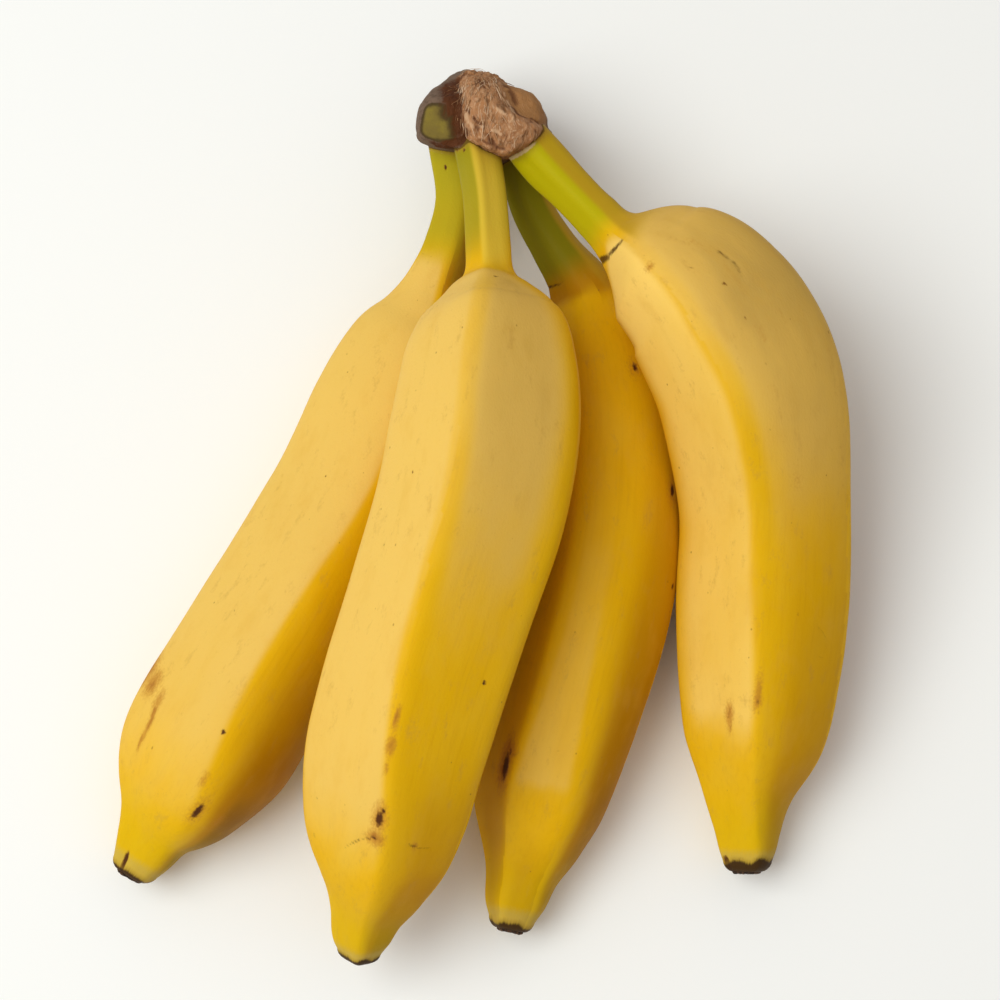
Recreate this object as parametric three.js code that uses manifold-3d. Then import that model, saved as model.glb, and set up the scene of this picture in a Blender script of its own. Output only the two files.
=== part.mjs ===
// A hand of four dessert bananas, cut from the stalk and lying on a table.
// Two fruits and the far end of a third bear on the table, the fourth lies on top, and a corky crown
// joins the four stalks. Each fruit ends in the dried remains of its flower.
// Millimetres, +Z up, +Y towards the crown, origin on the table under the middle of the hand.
import * as THREE from "three";
import { mergeVertices } from "three/addons/utils/BufferGeometryUtils.js";
import Module from "manifold-3d";

const wasm = await Module();
wasm.setup();

// Driving dimensions.
const GAP = 0.3; // between pieces that touch
const AROUND = 24; // facets round a fruit
const RINGS_PER_SPAN = 2; // rings between two stations of a fruit
const FACE_BULGE = 0.5; // 0 for flat faces between the ridges, 1 for a round section
const RIDGE_SHARPNESS = 10; // higher is a sharper ridge
const BLOSSOM_HEIGHT = 1.8;

// Each fruit is lofted through stations [x, y, z, radius], from inside the crown to the tip.
// Its five ridges stand at degrees round the section from straight up, towards the right as seen from
// above with the crown away from the viewer: each [at the crown, at the tip].
const FRUITS = {
  left: {
    ridges: [[18, 10], [82, 78], [150, 146], [222, 220], [294, 290]],
    rests: true,
    stations: [
      [-8, 80, 16, 4.8],
      [-5.8, 67.5, 16.2, 4.4],
      [-7.6, 57.5, 16.2, 4.8],
      [-10, 50.5, 15.5, 5.8],
      [-12.5, 43.5, 14.5, 8.6],
      [-15.8, 36, 13.8, 12.2],
      [-20.5, 22.5, 14, 14.9],
      [-27, 4.5, 14.4, 16.1],
      [-36.5, -14.5, 15.2, 17.1],
      [-47, -32.5, 15.7, 17.7],
      [-55.2, -46, 14.9, 16.7],
      [-61, -55.5, 12, 12.6],
      [-64.9, -61.3, 10, 8.2],
      [-67.4, -65.3, 9, 6.3],
      [-69.4, -68.6, 8.3, 5],
    ],
  },
  front: {
    ridges: [[-12, 0], [60, 68], [130, 138], [206, 212], [280, 286]],
    rests: false,
    stations: [
      [-0.9, 76.5, 28, 5.2],
      [0.4, 64, 31, 4.6],
      [1, 52, 34.3, 4.6],
      [1.2, 45.5, 35.6, 5.2],
      [1.2, 41.5, 36.5, 8.7],
      [1.5, 35.5, 37.8, 13.9],
      [1.8, 27, 40, 17.3],
      [0.9, 12.5, 41.8, 18.8],
      [-2, -3.5, 42.3, 18.5],
      [-7.2, -21, 41.2, 18.1],
      [-12.2, -36, 37.9, 17.7],
      [-16, -49, 34, 17.3],
      [-18, -59, 30, 16.1],
      [-19.4, -67, 26.5, 13.7],
      [-20.6, -73, 23.5, 10.8],
      [-22.1, -78, 20.5, 7.7],
      [-23.7, -82.3, 18, 5.9],
      [-24.4, -85.2, 16, 4.6],
    ],
  },
  back: {
    ridges: [[14, 44], [88, 104], [142, 150], [222, 232], [346, 322]],
    rests: true,
    stations: [
      [7, 79.5, 16, 4.8],
      [9.8, 66.5, 16.2, 4.4],
      [14.5, 57.5, 16.2, 4.8],
      [18.9, 51, 15.5, 6.2],
      [21.3, 46, 14.5, 9],
      [22.9, 38, 13.8, 12.9],
      [24.5, 25.3, 14, 15.2],
      [24.5, 10.5, 14.4, 16.1],
      [23.5, -3.5, 14.8, 16.6],
      [20.5, -19.5, 14.7, 16.5],
      [16.5, -36, 13.9, 15.6],
      [13, -48.5, 12.7, 14.3],
      [10.3, -57.2, 11.5, 12.9],
      [8.5, -64.2, 10.3, 10.4],
      [7.5, -70.2, 9.2, 7.5],
      [6.3, -75.3, 8.6, 6.2],
      [5.6, -78.8, 8.3, 5.1],
    ],
  },
  right: {
    ridges: [[-18, 12], [56, 80], [126, 150], [200, 222], [272, 292]],
    rests: true,
    stations: [
      [7.8, 77, 30, 6],
      [12.7, 71, 30, 5],
      [17.7, 65.2, 30.5, 4.6],
      [22.5, 59.3, 31.5, 4.9],
      [27.3, 54, 33, 6],
      [35.3, 48.5, 34.5, 13.9],
      [43.9, 39.8, 35.5, 17.9],
      [52.1, 23.7, 32, 18.4],
      [55.2, 2.7, 23.5, 17.6],
      [55.2, -16.2, 17.8, 17.2],
      [54.2, -32, 14.5, 16.2],
      [53.3, -43.7, 12.6, 14.2],
      [52.5, -53.7, 10.3, 9.1],
      [52.3, -61.3, 8.8, 6.7],
      [52.2, -66.8, 8, 5.3],
    ],
  },
};

// The crown is four lumps grown together, each bounded by faces [direction, distance from its centre]:
// the corky cut, its right shoulder, the base the lower stalks grow from, and the stub of a lost finger.
const CROWN_SHARPNESS = 6;
const CROWN_LUMPS = [
  {
    centre: [0.5, 81.5, 25],
    faces: [
      [[0, -0.1, 1], 12.7], [[0, 0.8, 0.6], 11.2], [[-0.2, 1, -0.1], 11.4], [[0.6, 0.8, 0.1], 7.4],
      [[1, 0.1, 0.1], 8.5], [[-1, 0.1, 0.2], 8], [[-0.3, -1, -0.25], 7.4], [[0.5, -0.9, 0], 9],
      [[0, 0, -1], 12],
    ],
  },
  {
    centre: [6.5, 80.5, 25],
    faces: [
      [[0.3, 0, 1], 12], [[1, 0.3, 0.2], 7], [[0.4, 1, 0.2], 6.5], [[0.7, -0.7, 0], 6.6],
      [[0, -1, -0.2], 7.5], [[-1, 0, 0], 7], [[0, 0, -1], 12],
    ],
  },
  {
    centre: [-0.5, 83, 17],
    faces: [
      [[1, 0.3, 0], 13], [[-1, 0.2, -0.1], 12.4], [[0, -1, -0.2], 6.2], [[0.35, 1, 0.1], 5.6],
      [[-0.3, 1, 0], 6.4], [[0, 0, -1], 8], [[0, 0, 1], 8],
    ],
  },
  {
    centre: [-8.3, 82, 24],
    faces: [
      [[-1, 0.15, 0.1], 5.1], [[-0.8, 0.6, 0.1], 5.2], [[0, 1, 0.4], 8.6], [[-0.25, -0.45, 0.85], 7.2],
      [[-0.1, -1, -0.4], 4.8], [[0, 0, -1], 9], [[1, 0, 0], 6],
    ],
  },
];

const PEEL = new THREE.MeshStandardMaterial({ color: 0xe8b93a, roughness: 0.5, metalness: 0 });
const CORK = new THREE.MeshStandardMaterial({ color: 0x8f6545, roughness: 0.95, metalness: 0 });
const DRIED_FLOWER = new THREE.MeshStandardMaterial({ color: 0x2e1f14, roughness: 0.9, metalness: 0 });

const UP = new THREE.Vector3(0, 0, 1);
const radians = THREE.MathUtils.degToRad;

// The distance out to a rounded polyhedron or polygon: faces are [unit direction, distance].
function roundedReach(direction, faces, sharpness) {
  let sum = 0;
  for (const [normal, distance] of faces) {
    sum += Math.max(0, direction.dot(normal) / distance) ** sharpness;
  }
  return sum ** (-1 / sharpness);
}

// The faces of a fruit's section at a share of its length, one between each pair of ridges.
function sectionFaces(ridges, share) {
  const angles = ridges.map(([atCrown, atTip]) => THREE.MathUtils.lerp(atCrown, atTip, share));
  return angles.map((ridge, i) => {
    const next = i + 1 < angles.length ? angles[i + 1] : angles[0] + 360;
    const middle = radians((ridge + next) / 2);
    const halfWidth = radians((next - ridge) / 2);
    const distance = THREE.MathUtils.lerp(Math.cos(halfWidth), 1, FACE_BULGE);
    return [new THREE.Vector3(Math.cos(middle), Math.sin(middle), 0), distance];
  });
}

// Moves every vertex of a geometry, and merges the ones that meet.
function reshape(geometry, move) {
  const place = geometry.getAttribute("position");
  const point = new THREE.Vector3();
  for (let i = 0; i < place.count; i++) {
    point.fromBufferAttribute(place, i);
    move(point);
    place.setXYZ(i, point.x, point.y, point.z);
  }
  geometry.deleteAttribute("normal");
  geometry.deleteAttribute("uv");
  return mergeVertices(geometry, 1e-3);
}

// The spine of a fruit: its centre line, its radius and the two directions across it.
function spineOf({ stations }) {
  const centres = new THREE.CatmullRomCurve3(
    stations.map(([x, y, z]) => new THREE.Vector3(x, y, z)), false, "catmullrom");
  const radii = new THREE.CatmullRomCurve3(
    stations.map(([, , , radius]) => new THREE.Vector3(radius, 0, 0)), false, "catmullrom");
  return (share) => {
    const along = centres.getTangent(share);
    const side = new THREE.Vector3().crossVectors(UP, along).normalize();
    const over = new THREE.Vector3().crossVectors(along, side);
    return {
      centre: centres.getPoint(share),
      radius: radii.getPoint(share).x,
      along,
      side,
      over,
    };
  };
}

// A fruit with its stalk, as a solid: a cylinder bent along the spine, with a ridged section.
function fruitSolid(fruit) {
  const spine = spineOf(fruit);
  const rings = (fruit.stations.length - 1) * RINGS_PER_SPAN;
  const blank = new THREE.CylinderGeometry(1, 1, 1, AROUND, rings);
  const geometry = reshape(blank, (p) => {
    const share = 0.5 - p.y;
    const { centre, radius, side, over } = spine(share);
    const outward = new THREE.Vector3(p.z, p.x, 0);
    const reach = outward.length() * radius;
    if (reach > 0) {
      outward.normalize();
      outward.multiplyScalar(
        reach * roundedReach(outward, sectionFaces(fruit.ridges, share), RIDGE_SHARPNESS));
    }
    p.copy(centre).addScaledVector(over, outward.x).addScaledVector(side, outward.y);
    if (fruit.rests) p.z = Math.max(p.z, 0);
  });
  return solidOf(geometry);
}

// The crown, or the crown grown by a margin, as a solid.
function crownSolid(margin) {
  const lumps = CROWN_LUMPS.map(({ centre, faces }) => {
    const middle = new THREE.Vector3(...centre);
    const grown = faces.map(([direction, distance]) =>
      [new THREE.Vector3(...direction).normalize(), distance + margin]);
    const blank = new THREE.SphereGeometry(1, 24, 16);
    return solidOf(reshape(blank, (p) => {
      p.normalize().multiplyScalar(roundedReach(p, grown, CROWN_SHARPNESS)).add(middle);
    }));
  });
  return lumps.reduce((crown, lump) => crown.add(lump));
}

// The dried end of the flower: a low, five-sided button on the tip of a fruit.
function blossomGeometry(fruit) {
  const { centre, radius, side, over, along } = spineOf(fruit)(1);
  const rim = radius * 0.86;
  const outline = [[0, 0], [rim, 0], [rim, 0.45], [rim * 0.8, 0.85], [rim * 0.45, 1], [0, 0.8]]
    .map(([x, y]) => new THREE.Vector2(x, GAP + y * BLOSSOM_HEIGHT));
  outline[0].x = 0;
  const blank = new THREE.LatheGeometry(outline, 15);
  return reshape(blank, (p) => {
    const { x, y, z } = p;
    p.copy(centre).addScaledVector(over, z).addScaledVector(side, -x).addScaledVector(along, y);
  });
}

function solidOf(geometry) {
  return new wasm.Manifold(new wasm.Mesh({
    numProp: 3,
    vertProperties: geometry.getAttribute("position").array,
    triVerts: new Uint32Array(geometry.index.array),
  }));
}

function geometryOf(solid) {
  const { vertProperties, triVerts } = solid.getMesh();
  return new THREE.BufferGeometry()
    .setAttribute("position", new THREE.BufferAttribute(vertProperties, 3))
    .setIndex(new THREE.BufferAttribute(triVerts, 1));
}

function named(name, geometry, material) {
  const mesh = new THREE.Mesh(geometry, material);
  mesh.name = name;
  return mesh;
}

const hand = new THREE.Group();
const crownRoom = crownSolid(GAP);
hand.add(named("crown", geometryOf(crownSolid(0)), CORK));
for (const [place, fruit] of Object.entries(FRUITS)) {
  const trimmed = fruitSolid(fruit).subtract(crownRoom);
  hand.add(named(`banana_${place}`, geometryOf(trimmed), PEEL));
  hand.add(named(`blossom_end_${place}`, blossomGeometry(fruit), DRIED_FLOWER));
}

const box = new THREE.Box3().setFromObject(hand);
const middle = box.getCenter(new THREE.Vector3());
hand.position.set(-middle.x, -middle.y, -box.min.z);

export default hand;
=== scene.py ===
# A hand of four ripe dessert bananas lying on a pale table, with its corky cut crown and the dried
# remains of the flowers on the fruits' tips. Blender's metres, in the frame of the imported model.
import bmesh
import bpy
import math
import random
import numpy as np
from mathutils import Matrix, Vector


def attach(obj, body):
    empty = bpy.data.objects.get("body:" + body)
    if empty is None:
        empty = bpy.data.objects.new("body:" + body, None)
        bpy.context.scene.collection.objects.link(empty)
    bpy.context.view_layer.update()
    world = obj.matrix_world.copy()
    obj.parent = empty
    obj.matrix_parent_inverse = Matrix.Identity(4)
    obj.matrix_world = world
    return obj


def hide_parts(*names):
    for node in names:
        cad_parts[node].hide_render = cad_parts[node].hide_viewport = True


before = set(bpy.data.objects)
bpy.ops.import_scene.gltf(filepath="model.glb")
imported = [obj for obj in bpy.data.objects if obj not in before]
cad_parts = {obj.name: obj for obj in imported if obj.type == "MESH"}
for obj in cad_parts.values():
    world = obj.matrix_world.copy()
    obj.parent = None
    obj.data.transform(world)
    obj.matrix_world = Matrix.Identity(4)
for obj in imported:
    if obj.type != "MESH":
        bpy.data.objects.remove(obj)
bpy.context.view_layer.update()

MM = 0.001

# ---------------------------------------------------------------------------------------------
# The fruits. Stations [x, y, z, radius] in millimetres run from inside the crown to the tip. Places
# on a fruit are a share of its stations and degrees round the section from straight up, clockwise as
# seen from the tip. Each ridge is a list of such places, and the face past it has the same number.
#   seed       picks the fruit's own random bumps and wavering borders
#   neck       the share where the stalk ends
#   rests      whether the fruit lies on the table, which flattens its underside
#   sharpness  how tight the ridges are: [share, exponent]
#   flatness   of each face: 1 is flat, and less is rounder
#   wax_and_sheen  the wax on each face, with painted sheen where it reaches further on the lit left
#              faces: [share, strength], and none on a face that isn't named
#   dusky_wax_and_shade  how dusky the wax grows well past the first ridge, with painted shade that
#              darkens it more towards the face's far edge: [share, strength]
#   painted_sheen  how strongly painted sheen whitens the wax before the first ridge, on the lit side
#   rubbed     how far the wax is rubbed off along the first ridge: [share, strength]
#   thin       where the wax and its painted sheen are thin: up to so many mm past the last ridge, and on
#              the first face from so many mm before the second ridge
#   deep       where each face is painted a deeper, darker orange as shade: [share, strength]
#   cream      how clear the pale rim is where the stalk leaves the crown
#   stalk      how bright the painted highlight along its edge is, how brown past that edge, how dark its
#              painted shade is, how far past the edge that painted shade reaches in mm, and how green
#   scars      [share, degrees, half the length in mm, half the width, strength], and bruises the same
#   cracks     [share, degrees] to [share, degrees], half the width in mm, strength
#   stain      how far the dark end reaches up from the dried flower in mm, and below 0 it stops short
# ---------------------------------------------------------------------------------------------
RING_STEP = 0.5  # mm between the rings of a fruit's mesh
AROUND = 216  # vertices round a fruit
TURN = np.linspace(0, 2 * np.pi, AROUND, endpoint=False)
FACE_BULGE = 0.42  # where a face's middle stands, from 0 on the chord of its ridges to 1 on the circle
RIDGES_KEPT = 0.5  # share of a flat face's ridges that a rounder face keeps
RIDGE_EASE = 0.03  # share of the length over which a ridge's bends are eased

FRUITS = {
    "left": {
        "seed": 1,
        "neck": 0.23,
        "rests": True,
        "sharpness": [[0, 6], [0.1, 14], [0.3, 10], [0.5, 18], [0.8, 20], [1, 10]],
        "flatness": [0.55, 1, 1, 1, 0.8],
        "ridges": [
            [[0, 26], [0.45, 24], [0.52, 20], [0.58, 12], [0.64, 14], [0.7, 18], [0.76, 28], [0.84, 39],
             [1, 48]],
            [[0, 92], [0.45, 84], [0.54, 88], [0.62, 108], [0.72, 117], [0.84, 118], [1, 122]],
            [[0, 155], [0.6, 160], [0.75, 184], [1, 194]],
            [[0, 226], [0.7, 240], [1, 252]],
            [[0, 296], [0.4, 286], [0.7, 282], [0.8, 290], [1, 304]],
        ],
        "wax_and_sheen": {
            1: [[0.2, 0], [0.26, 0.6], [0.7, 0.5], [0.8, 0]],
            2: [[0.2, 0], [0.26, 0.6], [0.7, 0.5], [0.8, 0]],
            3: [[0.17, 0], [0.22, 0.8], [0.74, 0.7], [0.84, 0]],
            4: [[0.15, 0], [0.2, 1], [0.56, 1], [0.64, 0.8], [0.7, 0.6], [0.76, 0.25], [0.82, 0]],
        },
        "dusky_wax_and_shade": [[0, 1], [1, 1]],
        "painted_sheen": 0,
        "rubbed": [[0, 1], [1, 1]],
        "thin": [1.4, 1],
        "deep": {
            0: [[0.16, 1], [0.3, 0.5], [0.4, 0.2], [0.6, 0.4], [0.66, 0.6], [0.7, 1], [0.76, 1.7],
                [0.86, 2], [1, 1.7]],
            1: [[0.16, 1], [0.3, 0.6], [0.6, 0.4], [0.7, 1], [1, 1]],
        },
        "cream": 0.3,
        "stalk": [0.3, 1, 0, 0, 0.3],
        "scars": [
            [0.759, 26, 3.4, 1.1, 1], [0.69, 12, 0.9, 0.8, 1], [0.988, -21, 3.4, 1, 1],
            [0.036, -23, 1.1, 0.6, 1], [0.61, -30, 0.7, 0.6, 0.7], [0.5, -20, 0.7, 0.6, 0.6],
        ],
        "bruises": [
            [0.675, -76, 6, 4.4, 1], [0.684, -62, 4.5, 3.4, 0.8], [0.694, -48, 3.6, 2, 0.7],
            [0.705, -46, 3.4, 1.1, 0.8], [0.717, -45, 4, 1.1, 0.9], [0.731, -46, 3.4, 0.9, 0.8],
            [0.728, 17, 2, 1.4, 0.6], [0.759, 26, 6, 2.6, 0.5], [0.762, 48, 3, 2, 0.4],
        ],
        "cracks": [[[0.176, -55], [0.172, -32], 0.25, 0.4]],
        "stain": -1.0,
        "stations": [
            [-7.6, 80, 16, 4.5],
            [-5.8, 67.5, 16.2, 4.4],
            [-7.6, 57.5, 16.2, 4.8],
            [-10, 50.5, 15.5, 5.8],
            [-12.5, 43.5, 14.5, 8.6],
            [-15.8, 36, 13.8, 12.2],
            [-20.5, 22.5, 14, 14.9],
            [-27, 4.5, 14.4, 16.1],
            [-36.5, -14.5, 15.2, 17.1],
            [-47.2, -32.5, 15.7, 17.2],
            [-55, -46.1, 14.9, 17],
            [-60.8, -55.6, 12, 12.9],
            [-64.9, -61.3, 10, 8.2],
            [-67.3, -65.2, 9, 6.5],
            [-69.2, -68.2, 8.3, 5.6],
        ],
    },
    "front": {
        "seed": 2,
        "neck": 0.18,
        "rests": False,
        "sharpness": [[0, 6], [0.1, 16], [0.22, 9], [0.4, 10], [0.6, 17], [0.85, 16], [1, 10]],
        "flatness": [0.9, 1, 1, 1, 0.9],
        "ridges": [
            [[0, -10], [0.25, -8], [0.31, -9], [0.38, -16], [0.48, -14], [0.57, -8], [0.63, 0], [0.7, 6],
             [1, 8]],
            [[0, 62], [0.5, 62], [1, 72]],
            [[0, 132], [1, 142]],
            [[0, 206], [1, 214]],
            [[0, 280], [0.5, 276], [1, 288]],
        ],
        "wax_and_sheen": {
            0: [[0.19, 0], [0.215, 0.95], [0.4, 0.95], [0.47, 0.6], [0.56, 0.1], [0.62, 0]],
            1: [[0.2, 0], [0.24, 0.5], [0.4, 0.4], [0.5, 0]],
            2: [[0.2, 0], [0.24, 0.6], [0.6, 0.5], [0.75, 0]],
            3: [[0.2, 0], [0.23, 0.8], [0.65, 0.8], [0.78, 0]],
            4: [[0.19, 0], [0.21, 1], [0.5, 1], [0.6, 0.85], [0.68, 0.7], [0.74, 0.25], [0.8, 0]],
        },
        "dusky_wax_and_shade": [[0, 0.9], [0.39, 0.8], [0.43, 0.9], [0.48, 1.2], [1, 1.2]],
        "painted_sheen": 0,
        "rubbed": [[0.2, 0.3], [0.35, 0.5], [0.48, 0.5], [0.6, 1], [1, 1]],
        "thin": [1.4, 8.5],
        "deep": {
            0: [[0.6, 0], [0.68, 0.4], [0.76, 0.6], [0.85, 1.3], [1, 1.8]],
            1: [[0.3, 0], [0.4, 0.4], [0.7, 0.6], [0.85, 0.9], [1, 0.9]],
            4: [[0.75, 0], [0.85, 0.25], [1, 0.2]],
        },
        "cream": 0.15,
        "stalk": [1, 0.3, 0.4, -0.5, 0.2],
        "scars": [
            [0.691, -2, 3, 1.3, 1], [0.681, 0, 1.2, 0.9, 0.8], [0.715, -4, 0.8, 1.5, 0.8],
            [0.569, 47, 0.9, 0.8, 1], [0.462, -45, 0.7, 0.6, 0.8], [0.489, -69, 0.8, 0.6, 0.8],
            [0.535, -81, 0.8, 0.8, 0.8], [0.745, -66, 1.4, 0.5, 0.7], [0.697, -62, 0.7, 0.6, 0.7],
            [0.246, 8, 0.5, 1.4, 0.75], [0.236, 6, 0.4, 0.6, 0.8], [0.298, 55, 0.6, 0.6, 0.8],
            [0.02, -42, 0.9, 0.8, 1], [0.013, -66, 0.7, 0.6, 1],
        ],
        "bruises": [
            [0.608, -3, 3.6, 0.9, 0.9], [0.628, -2, 3, 1.5, 0.9], [0.645, -2, 2, 0.8, 0.6],
            [0.691, -2, 5, 2.6, 0.8], [0.715, -3, 2.6, 3, 0.9], [0.721, 27, 1.6, 1.2, 0.5],
        ],
        "cracks": [
            [[0.717, -6], [0.724, -16], 0.32, 0.6], [[0.724, -16], [0.744, -32], 0.32, 0.65],
            [[0.72, 22], [0.726, 34], 0.32, 0.65], [[0.726, 34], [0.722, 52], 0.26, 0.45],
        ],
        "stain": -0.4,
        "stations": [
            [-1.6, 77, 24.8, 4.9],
            [0.2, 64, 31, 4.5],
            [1, 52, 34.3, 4.6],
            [1.2, 45.5, 35.6, 5.2],
            [1.2, 41.5, 36.5, 8.7],
            [1.5, 35.5, 37.8, 13.9],
            [1.7, 27, 40, 17.2],
            [1, 12.5, 41.8, 19],
            [-1.8, -3.5, 42.3, 18.8],
            [-7.2, -21, 41.2, 18.1],
            [-12.2, -36, 37.9, 17.7],
            [-16, -49, 34, 17.3],
            [-18, -59, 30, 16.1],
            [-19.4, -67, 26.5, 13.7],
            [-20.8, -73, 23.5, 10.3],
            [-22.4, -78, 20.5, 7.3],
            [-23.6, -82.1, 18, 5.9],
            [-24.1, -84.9, 16, 4.8],
        ],
    },
    "back": {
        "seed": 3,
        "neck": 0.19,
        "rests": True,
        "sharpness": [[0, 6], [0.1, 14], [0.25, 9], [0.45, 16], [0.58, 36], [0.76, 32], [0.88, 15], [1, 10]],
        "flatness": [0.6, 1, 1, 1, 1, 0.9],
        "ridges": [
            [[0, 10], [0.5, 14], [0.58, 16], [0.64, 23], [0.72, 30], [0.8, 30], [0.9, 33], [1, 40]],
            [[0, 64], [0.5, 72], [0.6, 78], [0.75, 86], [1, 98]],
            [[0, 128], [0.5, 134], [1, 152]],
            [[0, 196], [1, 208]],
            [[0, 268], [1, 266]],
            [[0, 348], [0.56, 347], [0.64, 341], [0.7, 334], [0.78, 333], [1, 328]],
        ],
        "wax_and_sheen": {
            2: [[0.2, 0], [0.26, 0.5], [0.7, 0.5], [0.8, 0]],
            3: [[0.2, 0], [0.26, 0.5], [0.7, 0.5], [0.8, 0]],
            5: [[0.44, 0], [0.54, 0.2], [0.62, 0.35], [0.705, 0.45], [0.722, 0.1], [0.74, 0]],
        },
        "dusky_wax_and_shade": [[0, 1], [1, 1]],
        "painted_sheen": 0,
        "rubbed": [[0, 1], [1, 1]],
        "thin": [1.4, 1],
        "deep": {
            0: [[0.17, 1.2], [0.24, 0.9], [0.3, 0.3], [0.45, 0.4], [0.6, 0.8], [0.72, 1.4], [0.9, 1.4],
                [1, 1.2]],
            1: [[0.16, 1], [0.3, 0.3], [0.5, 0.5], [0.8, 0.8], [1, 1]],
            2: [[0.16, 1], [1, 1]],
            4: [[0.16, 1.2], [0.22, 1], [0.26, 0], [0.7, 0.1], [0.8, 0.6], [1, 0.7]],
            5: [[0.17, 1.2], [0.22, 0.8], [0.26, 0], [0.78, 0.1], [0.86, 0.6], [1, 0.8]],
        },
        "cream": 0,
        "stalk": [0, 0.75, 1, 9, 0],
        "scars": [
            [0.703, -37, 4.8, 1.9, 1], [0.686, -34, 1.4, 0.8, 0.8], [0.362, 24, 1.6, 1, 0.9],
            [0.462, 56, 2.2, 1, 1], [0.531, 69, 1.2, 0.9, 0.9], [0.673, 6, 0.6, 1.2, 0.5],
            [0.67, 16, 0.6, 1, 0.5],
        ],
        "bruises": [
            [0.7, -39, 8, 3.4, 1], [0.685, -32, 4, 3, 0.6], [0.362, 24, 4, 3, 0.5], [0.462, 56, 5, 3, 0.6],
        ],
        "cracks": [[[0.175, -88], [0.185, -50], 0.35, 0.9], [[0.185, -50], [0.184, -25], 0.3, 0.4]],
        "stain": -0.8,
        "stations": [
            [7, 79.5, 16, 4.8],
            [9.8, 66.5, 16.2, 4.4],
            [14.5, 57.5, 16.2, 4.8],
            [18.9, 51, 15.5, 6.2],
            [21.3, 46, 14.5, 9],
            [22.9, 38, 13.8, 12.9],
            [24.5, 25.3, 14, 15.2],
            [24.5, 10.5, 14.4, 16.1],
            [23.5, -3.5, 14.8, 16.6],
            [20.5, -19.5, 14.7, 16.5],
            [16.4, -36, 13.9, 15.3],
            [13, -48.5, 12.7, 14.1],
            [10.8, -57.2, 11.5, 12.6],
            [9.2, -64.2, 10.3, 10],
            [7.6, -70.2, 9.2, 7.4],
            [6.3, -75.3, 8.6, 6.2],
            [5.6, -78.8, 8.3, 5.1],
        ],
    },
    "right": {
        "seed": 4,
        "neck": 0.3,
        "rests": True,
        "sharpness": [[0, 6], [0.1, 12], [0.32, 8], [0.42, 11], [0.55, 28], [0.85, 30], [1, 12]],
        "flatness": [0.68, 1, 1, 1, 0.9],
        "ridges": [
            [[0, -12], [0.3, -15], [0.35, -18], [0.43, -28], [0.48, -26], [0.52, -17], [0.6, -10], [0.7, -4],
             [0.8, 1], [0.9, 12], [1, 26]],
            [[0, 58], [0.45, 50], [0.7, 66], [1, 90]],
            [[0, 128], [1, 158]],
            [[0, 202], [1, 228]],
            [[0, 278], [0.26, 268], [0.36, 258], [0.46, 260], [0.6, 272], [0.8, 282], [1, 298]],
        ],
        "wax_and_sheen": {
            0: [[0.29, 0], [0.34, 1], [0.44, 0.85], [0.54, 0.35], [0.64, 0]],
            1: [[0.29, 0], [0.34, 1], [0.44, 0.8], [0.54, 0.3], [0.62, 0]],
            2: [[0.28, 0], [0.32, 0.6], [0.6, 0.5], [0.74, 0]],
            3: [[0.28, 0], [0.32, 0.6], [0.6, 0.5], [0.74, 0]],
            4: [[0.28, 0], [0.3, 1], [0.35, 0.9], [0.43, 0.5], [0.6, 0.42], [0.75, 0.45], [0.785, 0.1],
                [0.805, 0]],
        },
        "dusky_wax_and_shade": [[0, 0.8], [0.37, 0.95], [0.46, 1.75], [1, 1.75]],
        "painted_sheen": 1,
        "rubbed": [[0.2, 0.2], [0.45, 0.4], [0.6, 0.9], [1, 1]],
        "thin": [6, 0.1],
        "deep": {
            0: [[0.3, 0], [0.42, 0.3], [0.52, 0.4], [0.62, 0.4], [0.78, 0.6], [0.9, 1], [1, 1.4]],
            1: [[0.3, 0.6], [0.4, 1.2], [0.6, 1.2], [0.75, 0.8], [1, 0.8]],
        },
        "cream": 1,
        "stalk": [0, 0.75, 0, 0, 1],
        "scars": [
            [0.738, -4, 1.4, 0.6, 0.7], [0.752, -27, 0.8, 0.5, 0.7], [0.76, -28, 0.8, 0.5, 0.6],
            [0.768, -26, 0.7, 0.5, 0.6], [0.431, 5, 0.8, 0.6, 0.8], [0.458, 3, 0.8, 0.6, 0.7],
            [0.372, -22, 0.8, 1, 0.5], [1, -55, 1.8, 1.2, 1], [0.43, 3, 0.7, 0.5, 0.6],
            [0.456, -1, 0.7, 0.5, 0.6], [0.407, -5, 0.7, 0.5, 0.55], [0.487, 3, 0.7, 0.6, 0.6],
            [0.52, -2, 0.8, 0.6, 0.6], [0.58, 12, 0.7, 0.5, 0.6], [0.65, 20, 0.8, 0.6, 0.6],
        ],
        "bruises": [
            [0.722, -4, 6, 1.2, 0.7], [0.735, -4, 4, 1.4, 0.8], [0.756, -27, 4, 1.8, 0.8],
            [0.768, -26, 3, 1.2, 0.6], [0.372, -22, 1.6, 2, 0.6], [0.396, 12, 3, 2, 0.25],
            [0.47, 8, 3, 1.5, 0.25], [0.55, 16, 4, 2, 0.25],
        ],
        "cracks": [
            [[0.286, -90], [0.298, -52], 0.5, 1.2], [[0.302, -38], [0.295, -62], 0.4, 1],
            [[0.302, -40], [0.31, -13], 0.36, 1.1],
            [[0.413, 18], [0.423, 20], 0.5, 0.55], [[0.423, 20], [0.435, 18], 0.5, 0.5],
            [[0.66, 38], [0.675, 52], 0.25, 0.4], [[0.686, 40], [0.69, 58], 0.25, 0.35],
        ],
        "stain": 0.1,
        "stations": [
            [7.8, 77, 28, 5.2],
            [12.6, 70.7, 29.3, 5.3],
            [17.5, 65, 30.5, 4.8],
            [22.5, 59.3, 31.5, 4.9],
            [27.3, 54, 33, 6.2],
            [35.1, 48.2, 34.5, 14.2],
            [44.1, 39.9, 35.3, 17.8],
            [52.8, 23.9, 32, 18.4],
            [56.1, 2.6, 23.5, 17],
            [55.8, -16.2, 17.8, 17.1],
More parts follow.
